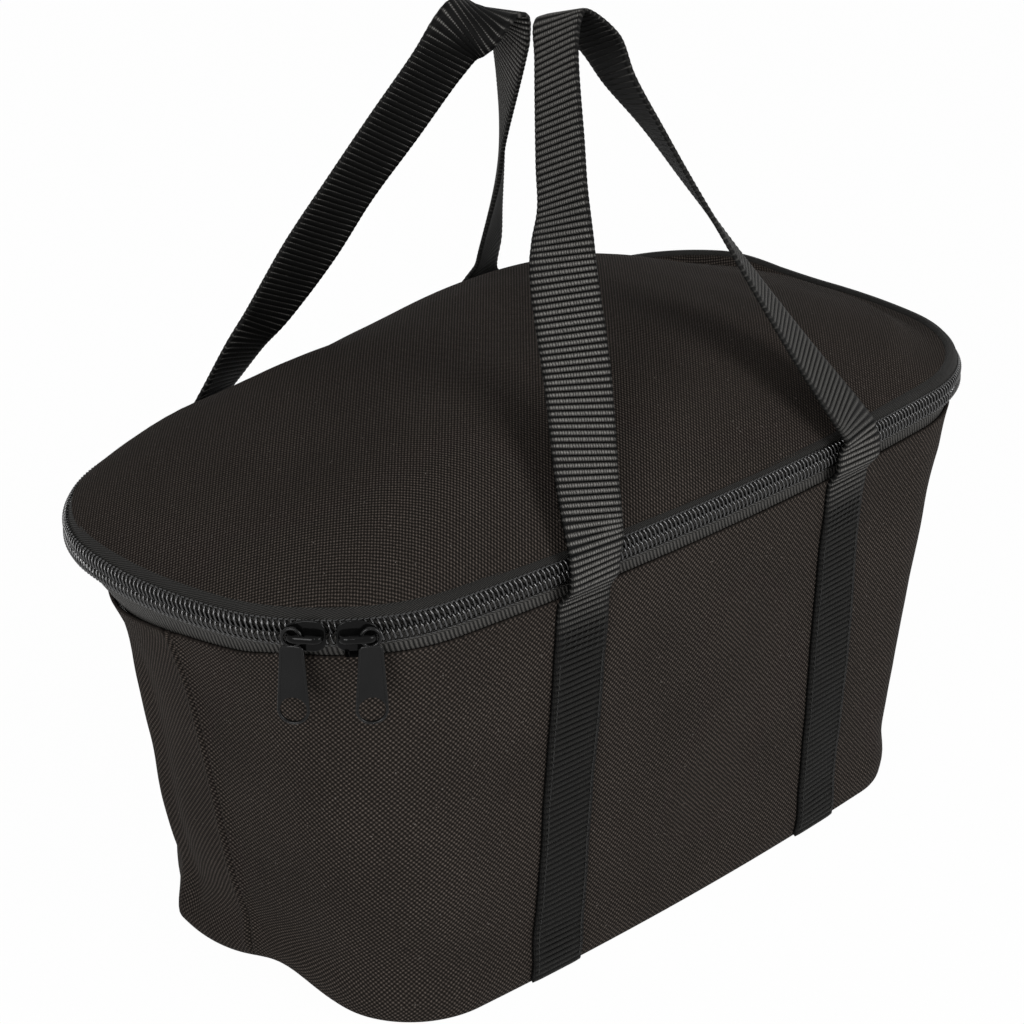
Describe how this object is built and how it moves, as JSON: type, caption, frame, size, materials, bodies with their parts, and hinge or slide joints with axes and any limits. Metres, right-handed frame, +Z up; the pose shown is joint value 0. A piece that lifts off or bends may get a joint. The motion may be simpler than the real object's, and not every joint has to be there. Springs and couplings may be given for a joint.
{
  "type": "cooler bag",
  "caption": "Soft-sided insulated cooler bag with a basket-shaped body, a domed lid closed by a wrap-round zip, and twin webbing carry handles.",
  "frame": {"origin": "on the ground under the middle of the bag", "axes": "+X along the bag's length, -Y towards its front, +Z up"},
  "size_m": [0.445, 0.23, 0.3983],
  "materials": {
    "body_fabric": "dark brown-black woven polyester",
    "webbing": "black ribbed webbing",
    "zip_tape": "black herringbone tape",
    "zip_coil": "glossy black coil",
    "zip_metal": "gloss black enamel",
    "lining": "silver-grey film",
    "foam": "closed-cell foam",
    "board": "stiff board"
  },
  "bodies": {
    "root": {"front_panel": "body_fabric", "back_panel": "body_fabric", "bottom_panel": "body_fabric", "base_board": "board", "base_foam": "foam", "base_liner": "lining", "wall_foam": "foam", "wall_liner": "lining", "lower_zip_tape": "zip_tape", "lower_coil": "zip_coil", "rim_binding": "zip_tape", "hinge_strip": "body_fabric", "left_zip_end": "webbing", "right_zip_end": "webbing", "front_left_strap": "webbing", "front_right_strap": "webbing", "back_left_strap": "webbing", "back_right_strap": "webbing"},
    "lid": {"lid_panel": "body_fabric", "lid_foam": "foam", "lid_liner": "lining", "lid_binding": "zip_tape", "upper_zip_tape": "zip_tape", "upper_coil": "zip_coil", "lid_hinge_strip": "body_fabric"},
    "front_fold": {"front_left_riser": "webbing", "front_right_riser": "webbing"},
    "front_handle": {"front_handle": "webbing"},
    "back_fold": {"back_left_riser": "webbing", "back_right_riser": "webbing"},
    "back_handle": {"back_handle": "webbing"},
    "left_slider": {"left_slider": "zip_metal"},
    "left_pull": {"left_pull": "zip_metal"},
    "right_slider": {"right_slider": "zip_metal"},
    "right_pull": {"right_pull": "zip_metal"}
  },
  "joints": [
    {"name": "lid_hinge", "type": "hinge", "parent": "root", "child": "lid", "pos_m": [0, 0.111, 0.2], "axis": [-1, 0, 0], "range_deg": [0, 105]},
    {"name": "front_fold", "type": "hinge", "parent": "root", "child": "front_fold", "pos_m": [0, -0.1119, 0.1846], "axis": [1, 0, 0], "range_deg": [0, 181]},
    {"name": "front_swing", "type": "hinge", "parent": "front_fold", "child": "front_handle", "pos_m": [0, -0.1119, 0.1846], "axis": [-1, 0, 0], "range_deg": [-180, 0]},
    {"name": "back_fold", "type": "hinge", "parent": "root", "child": "back_fold", "pos_m": [0, 0.1119, 0.1846], "axis": [-1, 0, 0], "range_deg": [0, 181]},
    {"name": "back_swing", "type": "hinge", "parent": "back_fold", "child": "back_handle", "pos_m": [0, 0.1119, 0.1846], "axis": [1, 0, 0], "range_deg": [-180, 0]},
    {"name": "left_slide", "type": "hinge", "parent": "root", "child": "left_slider", "pos_m": [-0.14388, -0.02921, 0.2], "axis": [0, 0, -1], "range_deg": [0, 21]},
    {"name": "right_slide", "type": "hinge", "parent": "root", "child": "right_slider", "pos_m": [-0.14388, -0.02921, 0.2], "axis": [0, 0, 1], "range_deg": [0, 25]},
    {"name": "left_pull_swing", "type": "hinge", "parent": "left_slider", "child": "left_pull", "pos_m": [-0.20722, -0.07151, 0.2], "axis": [0.7934, 0.6088, 0], "range_deg": [-10, 80]},
    {"name": "right_pull_swing", "type": "hinge", "parent": "right_slider", "child": "right_pull", "pos_m": [-0.18651, -0.09233, 0.2], "axis": [-0.6129, -0.7902, 0], "range_deg": [-10, 80]}
  ],
  "couplings": [
    {"joint": "front_fold", "follows": "lid_hinge", "ratio": 1.7143},
    {"joint": "back_fold", "follows": "lid_hinge", "ratio": 1.7143}
  ]
}
